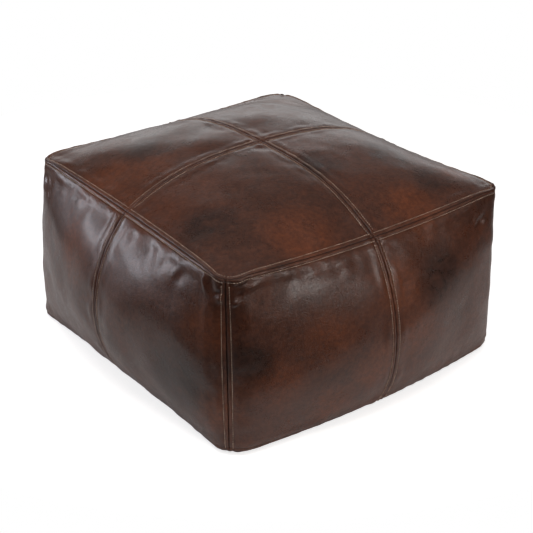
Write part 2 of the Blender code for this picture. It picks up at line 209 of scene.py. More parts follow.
def face_table(face):
    """A face of the stuffed shape as an even grid of points, rows upwards, seen from outside."""
    across = np.linspace(-1, 1, CAGE + 1)
    if face in ("top", "base"):
        a, b = np.meshgrid(across, across)
        return top_surface(a, b) if face == "top" else base_surface(-a, b)
    fine = 0.5 - 0.5 * np.cos(np.linspace(0, math.pi, 241))
    up = np.linspace(0, 1, CAGE_UP + 1)
    columns = [evened(side_surface(face, np.full_like(fine, s), fine), up) for s in across]
    return np.stack(columns, axis=1)


tables = {face: face_table(face) for face in (*FACES, "top", "base")}

# ---- One closed cage of the whole cover ----


def quads_of(grid):
    """The quads between the points of a grid of indices."""
    corners = (grid[:-1, :-1], grid[:-1, 1:], grid[1:, 1:], grid[1:, :-1])
    return np.stack(corners, axis=-1).reshape(-1, 4)


def index_grid(rows, columns):
    return np.arange(rows * columns).reshape(rows, columns)


def cage_of(tables):
    """The tables welded into one closed cage: its points, its quads and each table's indices."""
    flat = np.concatenate([table.reshape(-1, 3) for table in tables.values()])
    keys = np.round(flat / 2e-5).astype(np.int64)
    _, first, index = np.unique(keys, axis=0, return_index=True, return_inverse=True)
    index = index.reshape(-1)
    grids, quads, start = {}, [], 0
    for face, table in tables.items():
        rows, columns = table.shape[:2]
        grid = index[start:start + rows * columns].reshape(rows, columns)
        start += rows * columns
        grids[face] = grid
        quads.append(quads_of(grid))
    return flat[first], np.concatenate(quads), grids


cage_points, cage_quads, cage_grids = cage_of(tables)


def point_normals(points, quads):
    a, b, c, d = (points[quads[:, k]] for k in range(4))
    face_normals = np.cross(c - a, d - b)
    normals = np.zeros_like(points)
    for k in range(4):
        np.add.at(normals, quads[:, k], face_normals)
    return normals / np.linalg.norm(normals, axis=1, keepdims=True)


def smoothed(values, quads, passes):
    """Values at the cage's points, each averaged with its neighbours again and again."""
    pairs = np.concatenate([quads[:, (k, (k + 1) % 4)] for k in range(4)])
    count = np.bincount(pairs[:, 0], minlength=len(values))[:, None]
    for _ in range(passes):
        total = np.zeros_like(values)
        for axis in range(3):
            total[:, axis] = np.bincount(pairs[:, 0], values[pairs[:, 1], axis], len(values))
        values = 0.5 * values + 0.5 * total / count
    return values


def seam_shares():
    """How much of the seams' drawing-in each cage point takes: 1 on a seam, 0 a few cells off."""
    share = np.zeros(len(cage_points))
    for face, grid in cage_grids.items():
        rows, columns = grid.shape
        row, column = np.meshgrid(np.arange(rows), np.arange(columns), indexing="ij")
        off = np.minimum(column, columns - 1 - column)
        if face != "base":
            off = np.minimum(off, np.abs(column - columns // 2))
        off = np.minimum(off, np.minimum(row, rows - 1 - row))
        if face == "top":
            off = np.minimum(off, np.abs(row - rows // 2))
        np.maximum.at(share, grid.reshape(-1), np.clip(1 - off.reshape(-1) / SEAM_REACH, 0, 1))
    return share


def stuffed(points, quads, share, pinned):
    """The cage as cloth, blown out against its drawn-in seams for a few frames."""
    mesh = bpy.data.meshes.new("cloth_cage")
    mesh.from_pydata(points.tolist(), [], quads.tolist())
    cage = bpy.data.objects.new("cloth_cage", mesh)
    bpy.context.scene.collection.objects.link(cage)
    seam_group = cage.vertex_groups.new(name="seam")
    for index, weight in enumerate(share):
        seam_group.add([index], float(weight), "REPLACE")
    pin_group = cage.vertex_groups.new(name="pinned")
    pin_group.add(pinned.tolist(), 1.0, "REPLACE")
    cloth = cage.modifiers.new("cloth", "CLOTH")
    settings = cloth.settings
    settings.quality = 5
    settings.mass = 0.3
    settings.tension_stiffness = settings.compression_stiffness = 40
    settings.shear_stiffness = 25
    settings.bending_stiffness = CLOTH_BENDING
    settings.air_damping = 2
    settings.use_pressure = True
    settings.uniform_pressure_force = CLOTH_PRESSURE
    settings.vertex_group_mass = "pinned"
    settings.vertex_group_shrink = "seam"
    settings.shrink_min = CLOTH_EXCESS
    settings.shrink_max = CLOTH_DRAWN
    settings.effector_weights.gravity = 0
    cloth.collision_settings.use_collision = False
    cloth.point_cache.frame_start = 1
    cloth.point_cache.frame_end = CLOTH_FRAMES
    scene = bpy.context.scene
    for step in range(1, CLOTH_FRAMES + 1):
        scene.frame_set(step)
    result = cage.evaluated_get(bpy.context.evaluated_depsgraph_get()).to_mesh()
    settled = np.empty(len(points) * 3)
    result.vertices.foreach_get("co", settled)
    bpy.data.objects.remove(cage)
    scene.frame_set(1)
    return settled.reshape(-1, 3)


cage_normals = point_normals(cage_points, cage_quads)
share = seam_shares()
settled = stuffed(cage_points, cage_quads, share, np.unique(cage_grids["base"]))
moved = settled - cage_points
folds = smoothed(moved, cage_quads, FINE_PASSES) - smoothed(moved, cage_quads, COARSE_PASSES)
wrinkles = np.sum(folds * cage_normals, axis=1)
kept = lerp(WRINKLES_UPRIGHT, WRINKLES_LYING, np.abs(cage_normals[:, 2]))
kept = kept * lerp(1.0, WRINKLES_AT_SEAM, share)
wrinkles = WRINKLE_LIMIT * np.tanh(kept * wrinkles / WRINKLE_LIMIT)
cage_points = cage_points + wrinkles[:, None] * cage_normals
cage_normals = point_normals(cage_points, cage_quads)


def table_of(values, face):
    return values[cage_grids[face]]


def cubic(table, rows, columns):
    """The table at fractional rows and columns, by Catmull-Rom splines."""
    def weights(share):
        s2, s3 = share**2, share**3
        return ((-s3 + 2 * s2 - share) / 2, (3 * s3 - 5 * s2 + 2) / 2,
                (-3 * s3 + 4 * s2 + share) / 2, (s3 - s2) / 2)

    padded = np.pad(table, ((1, 1), (1, 1), (0, 0)), mode="reflect", reflect_type="odd")
    row = np.clip(np.floor(rows).astype(int), 0, table.shape[0] - 2)
    column = np.clip(np.floor(columns).astype(int), 0, table.shape[1] - 2)
    row_weights, column_weights = weights(rows - row), weights(columns - column)
    total = 0
    for i in range(4):
        for j in range(4):
            weight = row_weights[i] * column_weights[j]
            total = total + weight[..., None] * padded[row + i, column + j]
    return total


# ---- Relief of the leather: seams, puckers, pinches and lumps ----
NEAR_SEAM = np.array((0.15, 0.5, 1.0, 1.7, 2.6, 3.6, 4.6, 5.6, 6.5, 7.4, 8.4, 9.6, 11.2, 13.0,
                      15.0)) / 1000
ROW = int(np.argmin(np.abs(NEAR_SEAM - STITCH_INSET)))  # the station that the topstitching follows
PANEL_CELL = STITCH_PITCH / 2

# Ridges (height above 0) and dents beside the corner nearest the camera, where the leather of
# the sides is gathered: centre, direction, half length, half width, height.
PINCHES = (
    ((-0.268, -0.233, 0.272), (0.0, -0.35, -0.94), 0.012, 0.0036, 0.0036),
    ((-0.267, -0.246, 0.276), (0.0, -0.25, -0.97), 0.012, 0.0060, -0.0036),
    ((-0.276, -0.166, 0.259), (0.0, -0.40, 0.90), 0.020, 0.0100, 0.0014),
    ((-0.275, -0.186, 0.264), (0.0, -0.60, 0.80), 0.018, 0.0090, -0.0012),
    ((-0.276, -0.140, 0.262), (0.0, -0.30, 0.95), 0.018, 0.0090, -0.0010),
    ((-0.262, -0.264, 0.284), (0.0, -0.70, -0.70), 0.005, 0.0045, 0.0014),
    ((-0.242, -0.280, 0.282), (0.98, 0.0, 0.15), 0.011, 0.0030, 0.0024),
    ((-0.240, -0.281, 0.277), (0.98, 0.0, 0.20), 0.012, 0.0035, -0.0022),
    ((-0.222, -0.283, 0.270), (0.97, 0.0, 0.24), 0.011, 0.0036, 0.0016),
    ((-0.262, -0.262, 0.256), (0.0, -0.50, 0.86), 0.007, 0.0045, 0.0034),
    ((-0.265, -0.258, 0.264), (0.0, -0.90, 0.40), 0.008, 0.0040, -0.0020),
    ((-0.247, -0.279, 0.252), (0.92, 0.0, 0.38), 0.010, 0.0040, 0.0034),
    ((-0.245, -0.281, 0.261), (0.92, 0.0, 0.38), 0.010, 0.0040, -0.0020),
)
PINCHED_CORNERS = ((1, -1), (-1, 1), (1, 1))  # by X and Y sign: the other three corners
CROSSING_BUMPS = (  # where a middle seam runs into the top seam, the layers make it thick
    (-0.260, -0.013, 0.287), (-0.262, 0.012, 0.287), (-0.010, -0.278, 0.279), (0.012, -0.277, 0.279),
)


def waves(along, length, seed, count=7):
    """Smooth uneven waves about one high, of about that wavelength."""
    rng = np.random.default_rng(seed)
    total = 0
    for _ in range(count):
        stretch, start = rng.uniform(0.6, 1.7), rng.uniform(0, 2 * math.pi)
        total = total + np.cos(2 * math.pi * along / (length * stretch) + start)
    return total * math.sqrt(2 / count)


def lumps(points, length, seed, count=22):
    """The same in space: lumps of about that size."""
    rng = np.random.default_rng(seed)
    total = 0
    for _ in range(count):
        direction = rng.normal(size=3)
        direction *= 2 * math.pi / (length * rng.uniform(0.7, 1.6) * np.linalg.norm(direction))
        total = total + np.cos(points @ direction + rng.uniform(0, 2 * math.pi))
    return total * math.sqrt(2 / count)


def hump(d, centre, width):
    return np.exp(-(((d - centre) / width) ** 2))


def beside_seam(d, along, seed, puckers):
    """Height of the leather over the stuffed shape, at a distance from a seam."""
    ripple = np.cos(2 * math.pi * along / STITCH_PITCH)
    band = 0.0005 * (1 + 0.45 * waves(along, 0.030, seed)) * hump(d, 0.0034, 0.0020)
    stitched = -0.0006 * (1 + 0.20 * waves(along, 0.020, seed + 1)) * hump(d, STITCH_INSET, 0.0014)
    drawn = 0.00012 * ripple * hump(d, 0.0045, 0.0016) + 0.00014 * ripple * hump(d, 0.0086, 0.0014)
    swell = 0.0007 * (1 + 0.5 * waves(along, 0.060, seed + 2)) * hump(d, 0.0150, 0.0060)
    narrow = 0.00022 * waves(along, 0.017, seed + 3) * hump(d, 0.0145, 0.0070)
    wide = 0.00080 * waves(along, 0.042, seed + 4) * hump(d, 0.0270, 0.0140)
    return band + stitched + drawn + swell + puckers * (narrow + wide)


def on_shape(point):
    """The point moved square onto the stuffed shape."""
    nearest = np.argmin(np.linalg.norm(cage_points - point, axis=1))
    normal = cage_normals[nearest]
    return point - normal * ((point - cage_points[nearest]) @ normal)


def pinch_list():
    """The pinches of the near corner, and others like them at the other three."""
    rng = np.random.default_rng(41)
    pinches = list(PINCHES)
    for sx, sy in PINCHED_CORNERS:
        corner = top_surface(np.array([float(sx)]), np.array([float(sy)]))[0]
        for _ in range(9):
            off, down = rng.uniform(0.014, 0.060), rng.uniform(0.014, 0.050)
            on_x_side = rng.random() < 0.5
            sideways = np.array((0.0, -sy, 0.0) if on_x_side else (-sx, 0.0, 0.0))
            outward = np.array((sx, 0.0, 0.0) if on_x_side else (0.0, sy, 0.0))
            centre = corner + off * sideways + 0.010 * outward - (0.0, 0.0, down)
            direction = sideways * rng.uniform(0.3, 1.0)
            direction = direction - np.array((0.0, 0.0, rng.uniform(0.1, 1.0)))
            height = rng.choice((-1, 1)) * rng.uniform(0.0012, 0.0022)
            half_length, half_width = rng.uniform(0.009, 0.015), rng.uniform(0.004, 0.006)
            pinches.append((centre, direction, half_length, half_width, height))
    for centre in CROSSING_BUMPS:
        pinches.append((centre, (0.0, 0.0, 1.0), 0.0070, 0.0055, 0.0013))
    return [(on_shape(np.array(centre)), *rest) for centre, *rest in pinches]


pinches = pinch_list()


def pinched(points):
    height = 0
    for centre, direction, half_length, half_width, amount in pinches:
        direction = np.array(direction) / np.linalg.norm(direction)
        off = points - np.array(centre)
        lengthways = off @ direction
        sideways = np.sum(off * off, axis=-1) - lengthways**2
        shape = -((lengthways / half_length) ** 2) - sideways / half_width**2
        height = height + amount * np.exp(shape)
    return height


def smooth_step(share):
    share = np.clip(share, 0, 1)
    return share * share * (3 - 2 * share)


def slot_openness(y):
    """1 where the zip's slot is open, 0 past its ends."""
    return smooth_step((SLOT_CLOSED - np.abs(y)) / (SLOT_CLOSED - SLOT_END))


def channel_height(x, y):
    across = smooth_step((CHANNEL_HALF - np.abs(x)) / (CHANNEL_HALF - SLOT_HALF))
    along = smooth_step((CHANNEL_END + CHANNEL_FADE - np.abs(y)) / CHANNEL_FADE)
    return CHANNEL_RISE * across * along


# ---- Leather panels ----
def stations(length):
    """Distances across a panel of that width, close together beside both seams."""
    last = NEAR_SEAM[-1]
    count = max(int(round((length - 2 * last) / PANEL_CELL)), 1)
    middle = np.linspace(last, length - last, count + 1)[1:-1]
    return np.concatenate((NEAR_SEAM, middle, length - NEAR_SEAM[::-1]))


class Panel:
    """A panel's outer surface: points, normals, and the distances to its four seams."""

    def __init__(self, face, column_span, row_span, puckers, seed):
        """The spans are the first and last column and row of the face's table that it covers."""
        table, normals = table_of(cage_points, face), table_of(cage_normals, face)
        (c0, c1), (r0, r1) = column_span, row_span
        self.width = TOP_HALF
        lengths = np.linalg.norm(np.diff(table[r0:r1 + 1, c0:c1 + 1], axis=0), axis=2).sum(axis=0)
        height = lengths[(c1 - c0) // 2]
        across, up = stations(self.width), stations(height)[:, None]
        columns = c0 + across / self.width * (c1 - c0)
        # Every column keeps the same distances beside its two seams, whatever its length.
        length = np.interp(columns, np.arange(c0, c1 + 1), lengths)
        last = NEAR_SEAM[-1]
        stretched = last + (up - last) * (length - 2 * last) / (height - 2 * last)
        upper = np.where(up >= height - last, length - (height - up), stretched)
        self.low = np.where(up <= last, up, upper)
        self.high = length - self.low
        rows = r0 + self.low / length * (r1 - r0)
        columns = np.broadcast_to(columns, rows.shape)
        self.left = np.broadcast_to(across, rows.shape)
        self.right = self.width - self.left
        points, out = cubic(table, rows, columns), cubic(normals, rows, columns)
        self.out = out / np.linalg.norm(out, axis=-1, keepdims=True)
        self.seam = np.minimum(np.minimum(self.left, self.right), np.minimum(self.low, self.high))
        self.points = points + self.relief(points, puckers, seed)[..., None] * self.out

    def relief(self, points, puckers, seed):
        edges = ((self.left, self.low), (self.right, self.low),
                 (self.low, self.left), (self.high, self.left))
        height = -0.0015 * np.exp(-((self.seam / 0.0008) ** 1.3))
        for number, ((away, along), amount) in enumerate(zip(edges, puckers)):
            height = height + beside_seam(away, along, seed + 10 * number, amount)
        calm = smooth_step(self.seam / 0.030)
        broad, small = lumps(points, 0.100, seed + 50), lumps(points, 0.036, seed + 51)
        height = height + calm * (0.0008 * broad + 0.00010 * small)
        return height + pinched(points)

    def flatten_base(self, side, inner_edge):
        """Turns the inner seam of a base panel into the zip's channel, and rests it on the floor."""
        x, y = self.points[..., 0], self.points[..., 1]
        from_seam = self.left if inner_edge == 0 else self.right
        straight = smooth_step((SEAM_STRAIGHT_END + SEAM_BEND - np.abs(y)) / SEAM_BEND)
        straight = straight * smooth_step(1 - from_seam / SEAM_BAND)
        x = x - x[:, inner_edge, None] * straight
        near = smooth_step((ZIP_BAND - from_seam) / ZIP_BAND_FADE) * slot_openness(y)
        flat = np.maximum(self.points[..., 2], 0.0)
        self.points[..., 0] = lerp(x, side * (SLOT_HALF + from_seam), near)
        past = CHANNEL_HALF + CHANNEL_LIP - np.abs(self.points[..., 0])
        in_channel = smooth_step(past / CHANNEL_LIP)
        in_channel = in_channel * smooth_step((CHANNEL_END + CHANNEL_FADE - np.abs(y)) / CHANNEL_FADE)
        self.points[..., 2] = flat * (1 - in_channel * near) + channel_height(self.points[..., 0], y)
        self.open_edge = slot_openness(y)


def mesh_from(name, points, faces):
    mesh = bpy.data.meshes.new(name)
    mesh.from_pydata(points.tolist(), [], faces if isinstance(faces, list) else faces.tolist())
    mesh.shade_smooth()
    return mesh


def store(mesh, name, values):
    attribute = mesh.attributes.new(name, "FLOAT", "POINT")
    attribute.data.foreach_set("value", np.asarray(values, dtype=float))


def add_piece(name, mesh, material, body, *nodes, slot=None):
    piece = bpy.data.objects.new(name, mesh)
    bpy.context.scene.collection.objects.link(piece)
    mesh.materials.append(material)
    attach(piece, body)
    if nodes:
        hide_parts(*nodes)
    return piece


def thicken(piece, thickness, offset):
    solid = piece.modifiers.new("thickness", "SOLIDIFY")
    solid.thickness = thickness
    solid.offset = offset


def panel_mesh(name, panel, inner_edge):
    """The panel with its seam allowance turned in all round."""
    rows, columns = panel.seam.shape
    flat, normals = panel.points.reshape(-1, 3), panel.out.reshape(-1, 3)
    index = index_grid(rows, columns)
    border = np.concatenate((index[0, :-1], index[:-1, -1], index[-1, :0:-1], index[:0:-1, 0]))
    depth = np.full(len(border), ALLOWANCE)
    if inner_edge is not None:
        # Along the zip the allowance is only folded over, so that it clears the tape.
        column = inner_edge % columns
        folded = np.isin(border, index[:, column])
        depth[folded] = lerp(ALLOWANCE, ZIP_ALLOWANCE, panel.open_edge.reshape(-1)[border[folded]])
    hem = flat[border] - depth[:, None] * normals[border]
    first, ring = len(flat), np.arange(len(border))
    following = np.roll(ring, -1)
    hem_quads = np.stack((border[ring], first + ring, first + following, border[following]), axis=1)
    quads = np.concatenate((quads_of(index), hem_quads))
    mesh = mesh_from(name, np.concatenate((flat, hem)), quads)
    store(mesh, "seam", np.concatenate((panel.seam.reshape(-1), np.zeros(len(border)))))
    return mesh


# ---- Materials ----
class Nodes:
    """A node tree whose nodes are chained from Python."""

    def __init__(self, tree):
        self.tree = tree

    def add(self, kind, inputs=None, **settings):
        node = self.tree.nodes.new("ShaderNode" + kind)
        for key, value in settings.items():
            setattr(node, key, value)
        for key, value in (inputs or {}).items():
            self.set(node.inputs[key], value)
        return node

    def set(self, socket, value):
        if isinstance(value, bpy.types.NodeSocket):
            self.tree.links.new(value, socket)
        else:
            socket.default_value = value

    def ramp(self, value, low, high, out_low=0.0, out_high=1.0):
        node = self.add("MapRange", {"Value": value, "From Min": low, "From Max": high,
                                     "To Min": out_low, "To Max": out_high})
        node.interpolation_type = "SMOOTHSTEP"
        return node.outputs["Result"]

    def math(self, operation, first, second=0.0):
        return self.add("Math", {0: first, 1: second}, operation=operation).outputs[0]

    def product(self, first, second):
        return self.math("MULTIPLY", first, second)

    def vector_math(self, operation, *values):
        return self.add("VectorMath", dict(enumerate(values)), operation=operation).outputs

    def mix(self, share, first, second, blend="MIX"):
        node = self.add("Mix", data_type="RGBA", blend_type=blend)
        self.set(node.inputs[0], share)
        self.set(node.inputs[6], first)
        self.set(node.inputs[7], second)
        return node.outputs[2]


class Paint(Nodes):
    """A material."""

    def __init__(self, name):
        self.material = bpy.data.materials.new(name)
        self.material.use_nodes = True
        super().__init__(self.material.node_tree)
        self.shader = self.tree.nodes["Principled BSDF"]
        self.place = self.add("TexCoord").outputs["Object"]

    def noise(self, scale, detail=4.0, roughness=0.55, distortion=0.0, place=None):
        node = self.add("TexNoise", {"Vector": place or self.place, "Scale": scale, "Detail": detail,
                                     "Roughness": roughness, "Distortion": distortion})
        return node.outputs["Fac"]

    def cells(self, scale, feature="F1", place=None):
        node = self.add("TexVoronoi", {"Vector": place or self.place, "Scale": scale}, feature=feature)
        return node.outputs["Distance"]

    def attribute(self, name):
        return self.add("Attribute", attribute_name=name).outputs["Fac"]

    def near(self, spots):
        """1 inside any of the soft balls (centre, radius), 0 outside them all."""
        total = 0.0
        for centre, radius in spots:
            away = self.vector_math("DISTANCE", self.place, centre)["Value"]
            total = self.math("MAXIMUM", total, self.ramp(away, radius, 0.25 * radius))
        return total

    def bump(self, height, distance, normal=None):
        node = self.add("Bump", {"Height": height, "Distance": distance, "Strength": 1.0})
        if normal:
            self.set(node.inputs["Normal"], normal)
        return node.outputs["Normal"]

    def finish(self, colour, roughness, normal, **constants):
        self.set(self.shader.inputs["Base Color"], colour)
        self.set(self.shader.inputs["Roughness"], roughness)
        self.set(self.shader.inputs["Normal"], normal)
        for key, value in constants.items():
            self.shader.inputs[key.replace("_", " ")].default_value = value
        return self.material


def rgb(red, green, blue):
    return (red, green, blue, 1.0)


BLACK = rgb(0.018, 0.010, 0.008)
DARK = rgb(0.072, 0.026, 0.0145)
MIDDLE = rgb(0.104, 0.035, 0.0185)
WARM = rgb(0.130, 0.045, 0.024)
COGNAC = rgb(0.165, 0.046, 0.016)
# colour of the seam band's crest: partly rubbed-off dye, partly a painted highlight
RIM_RUB_AND_HIGHLIGHT = rgb(0.200, 0.090, 0.055)
ROUGH_LOW, ROUGH_HIGH = 0.27, 0.38
COAT = 0.14

# Where the dye has been rubbed back to cognac, and where it lies almost black: centre, radius.
RUBBED = (
    ((-0.228, 0.091, 0.305), 0.075), ((-0.180, 0.049, 0.324), 0.060), ((-0.245, 0.020, 0.300), 0.050),
    ((0.095, -0.250, 0.294), 0.070), ((0.235, -0.200, 0.300), 0.040), ((-0.107, -0.239, 0.300), 0.080),
    ((-0.303, 0.080, 0.208), 0.070), ((-0.277, -0.240, 0.203), 0.058), ((-0.270, -0.256, 0.079), 0.065),
    ((-0.191, -0.302, 0.117), 0.060), ((0.026, -0.312, 0.212), 0.055), ((0.055, -0.326, 0.130), 0.055),
    ((-0.031, -0.326, 0.097), 0.055), ((-0.111, -0.318, 0.166), 0.070), ((0.095, -0.284, 0.270), 0.035),
    ((-0.102, -0.311, 0.057), 0.055), ((0.240, 0.150, 0.180), 0.080), ((-0.100, 0.300, 0.150), 0.090),
    ((0.200, 0.180, 0.320), 0.060),
)
BLACKENED = (
    ((0.111, -0.310, 0.201), 0.070), ((-0.231, -0.290, 0.161), 0.050), ((-0.289, -0.196, 0.102), 0.080),
    ((-0.207, -0.147, 0.309), 0.060), ((-0.150, 0.110, 0.325), 0.055), ((0.150, -0.130, 0.335), 0.060),
    ((0.280, -0.100, 0.120), 0.080), ((0.120, 0.300, 0.200), 0.090), ((0.020, -0.120, 0.345), 0.060),
    ((0.174, -0.212, 0.308), 0.045),
)


def leather_paint(name, plain=False):
    p = Paint(name)
    seam = p.attribute("seam")
    warp = p.noise(9.0, 3.0, 0.6)
    warp = p.add("CombineXYZ", {0: warp, 1: warp, 2: warp}).outputs[0]
    nudge = p.vector_math("MULTIPLY", warp, (0.05, 0.05, 0.05))[0]
    drifted = p.vector_math("MULTIPLY_ADD", p.place, warp, nudge)[0]
    blotches = p.noise(7.0, 5.0, 0.62, 0.6, drifted)
    clouds = p.noise(24.0, 5.0, 0.6, 0.4, drifted)
    mottle = p.noise(150.0, 4.0, 0.7)
    fine = p.noise(620.0, 3.0, 0.6)
    colour = p.mix(p.ramp(blotches, 0.36, 0.62), DARK, MIDDLE)
    colour = p.mix(p.product(p.ramp(clouds, 0.45, 0.72), 0.55), colour, WARM)
    if not plain:
        loose = p.math("ADD", p.near(RUBBED), p.ramp(blotches, 0.56, 0.74, 0.0, 0.6))
        rubbed = p.product(loose, p.ramp(clouds, 0.28, 0.62, 0.30, 0.80))
        colour = p.mix(p.math("MINIMUM", rubbed, 0.8), colour, COGNAC)
        black = p.product(p.near(BLACKENED), p.ramp(clouds, 0.70, 0.30, 0.40, 0.70))
        colour = p.mix(black, colour, BLACK)
    # Painted shade: the seam's groove and the valley along each stitch row are darkened. The crest of the
    # band beside the groove is lighter: partly dye rubbed off, partly a painted highlight.
    # the crest of the band is lighter: partly rubbed-off dye, partly a painted highlight
    crest_rub_and_highlight = p.product(p.ramp(seam, 0.0010, 0.0026), p.ramp(seam, 0.0055, 0.0036))
    crest_rub_and_highlight = p.product(crest_rub_and_highlight, p.ramp(clouds, 0.35, 0.70, 0.0, 0.30))
    colour = p.mix(crest_rub_and_highlight, colour, RIM_RUB_AND_HIGHLIGHT)
    # painted shade: the groove of the seam darkened almost to black
    colour = p.mix(p.ramp(seam, 0.0010, 0.0002, 0.0, 0.7), colour, BLACK)
    # painted shade in the shallow valley along each row of stitches
    stitch_valley_shade = p.product(p.ramp(seam, 0.0052, 0.0064), p.ramp(seam, 0.0078, 0.0066))
    colour = p.mix(p.product(stitch_valley_shade, 0.25), colour, BLACK)
    grain_tone = p.mix(p.ramp(mottle, 0.30, 0.72), rgb(0.70, 0.70, 0.72), rgb(1.30, 1.25, 1.20))
    colour = p.mix(1.0, colour, grain_tone, "MULTIPLY")
    pores = p.cells(1100.0)
    creases = p.cells(170.0, "DISTANCE_TO_EDGE")
    small_creases = p.cells(420.0, "DISTANCE_TO_EDGE")
    normal = p.bump(p.ramp(creases, 0.0, 0.10), 0.00008)
    normal = p.bump(p.ramp(small_creases, 0.0, 0.14), 0.00006, normal)
    normal = p.bump(pores, 0.00004, normal)
    normal = p.bump(p.noise(38.0, 2.0, 0.5), 0.0006, normal)
    normal = p.bump(mottle, 0.00007, normal)
    rough = p.ramp(clouds, 0.30, 0.70, ROUGH_LOW, ROUGH_HIGH)
    rough = p.math("ADD", rough, p.ramp(fine, 0.3, 0.7, -0.03, 0.05))
    rough = p.math("ADD", rough, p.ramp(seam, 0.0020, 0.0, 0.0, 0.25))
    return p.finish(colour, rough, normal, Specular_IOR_Level=0.5, Coat_Weight=COAT,
                    Coat_Roughness=0.16)


def thread_paint():
    p = Paint("waxed_thread_ply")
    shade = p.attribute("shade")
    colour = p.mix(shade, rgb(0.400, 0.260, 0.190), rgb(0.680, 0.500, 0.390))
    dirt = p.ramp(p.noise(60.0, 3.0), 0.45, 0.70, 0.0, 0.5)
    colour = p.mix(dirt, colour, rgb(0.050, 0.024, 0.015))
    fibre = p.noise(4200.0, 2.0)
    tone = p.mix(fibre, rgb(0.75, 0.75, 0.75), rgb(1.25, 1.25, 1.25))
    colour = p.mix(1.0, colour, tone, "MULTIPLY")
    return p.finish(colour, p.ramp(fibre, 0.3, 0.7, 0.42, 0.62), p.bump(fibre, 0.00008))


def cloth_paint(name, light, dark, thread, fuzz=0.3, rough=0.85):
    """Plain-woven cloth: two crossing sets of threads of that width, with slubs and creases."""
    p = Paint(name)
    weave = 0.0
    for axis in range(3):
        wave = p.add("TexWave", {"Vector": p.place, "Scale": 0.314 / thread, "Distortion": 0.6,
                                 "Detail": 1.0, "Detail Scale": 2.0}, bands_direction="XYZ"[axis])
        weave = p.math("ADD", weave, wave.outputs["Fac"])
    slubs = p.noise(90.0, 4.0, 0.65)
    soil = p.noise(11.0, 4.0, 0.6)
    colour = p.mix(p.ramp(p.product(weave, 0.33), 0.25, 0.75), dark, light)
    colour = p.mix(p.ramp(slubs, 0.5, 0.75, 0.0, 0.35), colour, dark)
    colour = p.mix(p.ramp(soil, 0.5, 0.8, 0.0, 0.3), colour, dark)
    normal = p.bump(slubs, 0.0006)
    normal = p.bump(weave, 0.2 * thread, normal)
    return p.finish(colour, p.ramp(slubs, 0.3, 0.7, rough - 0.08, rough + 0.07), normal, Sheen_Weight=fuzz)


def cotton_paint():
    p = Paint("cotton_filling_fluff")
    tufts = p.noise(70.0, 6.0, 0.7, 1.2)
    fibres = p.noise(900.0, 5.0, 0.8, 2.0)
    colour = p.mix(p.ramp(tufts, 0.3, 0.7), rgb(0.46, 0.41, 0.33), rgb(0.74, 0.70, 0.61))
    seeds = p.ramp(p.cells(140.0), 0.14, 0.06, 0.0, 0.7)
    colour = p.mix(seeds, colour, rgb(0.17, 0.12, 0.07))
    normal = p.bump(fibres, 0.0005, p.bump(tufts, 0.003))
    return p.finish(colour, p.ramp(fibres, 0.3, 0.7, 0.85, 0.98), normal, Sheen_Weight=0.5)


def metal_paint():
    p = Paint("antique_brass_patina")
    tarnish = p.noise(300.0, 5.0, 0.7, 0.8)
    scratches = p.noise(2600.0, 3.0, 0.7)
    colour = p.mix(p.ramp(tarnish, 0.35, 0.65), rgb(0.36, 0.24, 0.10), rgb(0.13, 0.080, 0.038))
    colour = p.mix(p.ramp(scratches, 0.60, 0.75, 0.0, 0.4), colour, rgb(0.62, 0.45, 0.22))
    rough = p.math("ADD", p.ramp(tarnish, 0.3, 0.7, 0.26, 0.50), p.ramp(scratches, 0.3, 0.7, -0.05, 0.08))
    return p.finish(colour, rough, p.bump(scratches, 0.00005), Metallic=1.0)


def nylon_paint():
    p = Paint("zip_coil_nylon")
    wear = p.noise(240.0, 4.0, 0.6)
    grime = p.noise(1800.0, 3.0, 0.6)
    colour = p.mix(p.ramp(wear, 0.35, 0.7), rgb(0.042, 0.024, 0.016), rgb(0.088, 0.052, 0.036))
    return p.finish(colour, p.ramp(grime, 0.3, 0.7, 0.34, 0.55), p.bump(grime, 0.00004))


leather = leather_paint("antiqued_leather_skin")
base_leather = leather_paint("base_leather_skin", plain=True)
thread = thread_paint()
calico = cloth_paint("calico_weave", rgb(0.66, 0.59, 0.47), rgb(0.42, 0.36, 0.27), 0.0011)
tape_cloth = cloth_paint("zip_tape_weave", rgb(0.056, 0.033, 0.022), rgb(0.020, 0.012, 0.009), 0.0007, 0.1)
cotton = cotton_paint()
brass = metal_paint()
nylon = nylon_paint()

# ---- Panels ----
HALF = CAGE // 2
FIRST, SECOND = (0, HALF), (HALF, CAGE)
HALVES = {"front": ("left", "right"), "right": ("front", "back"),
          "back": ("right", "left"), "left": ("back", "front")}  # left to right from outside


def add_panel(node, panel, material, slot, inner_edge=None):
    mesh = panel_mesh(node, panel, inner_edge)
    piece = add_piece(f"{node}_skin", mesh, material, "cover", node, slot=slot)
    thicken(piece, LEATHER, -1)
    return panel


top_panels, side_panels = {}, {}
for i, (across, columns) in enumerate((("left", FIRST), ("right", SECOND))):
    for j, (depth, rows) in enumerate((("front", FIRST), ("back", SECOND))):
        panel = Panel("top", columns, rows, (0.2, 0.2, 0.2, 0.2), 100 * (2 * i + j))
        node = f"top_panel_{depth}_{across}"
        top_panels[depth, across] = add_panel(node, panel, leather, "antiqued_leather")
for i, (face, halves) in enumerate(HALVES.items()):
    for j, (half, columns) in enumerate(zip(halves, (FIRST, SECOND))):
        panel = Panel(face, columns, (0, CAGE_UP), (0.22, 0.22, 0.3, 0.26), 1000 + 100 * (2 * i + j))
        side_panels[face, half] = add_panel(f"{face}_panel_{half}", panel, leather, "antiqued_leather")
for half, columns, side, inner_edge in (("right", FIRST, 1, -1), ("left", SECOND, -1, 0)):
    panel = Panel("base", columns, (0, CAGE), (0.4, 0.4, 0.4, 0.4), 2000 + 100 * side)
    panel.flatten_base(side, inner_edge)
    add_panel(f"base_panel_{half}", panel, base_leather, "base_leather", inner_edge)

# ---- Stitches ----
THREAD_SIDES = 6
STEP = 0.0005  # either way along a row, to find its direction
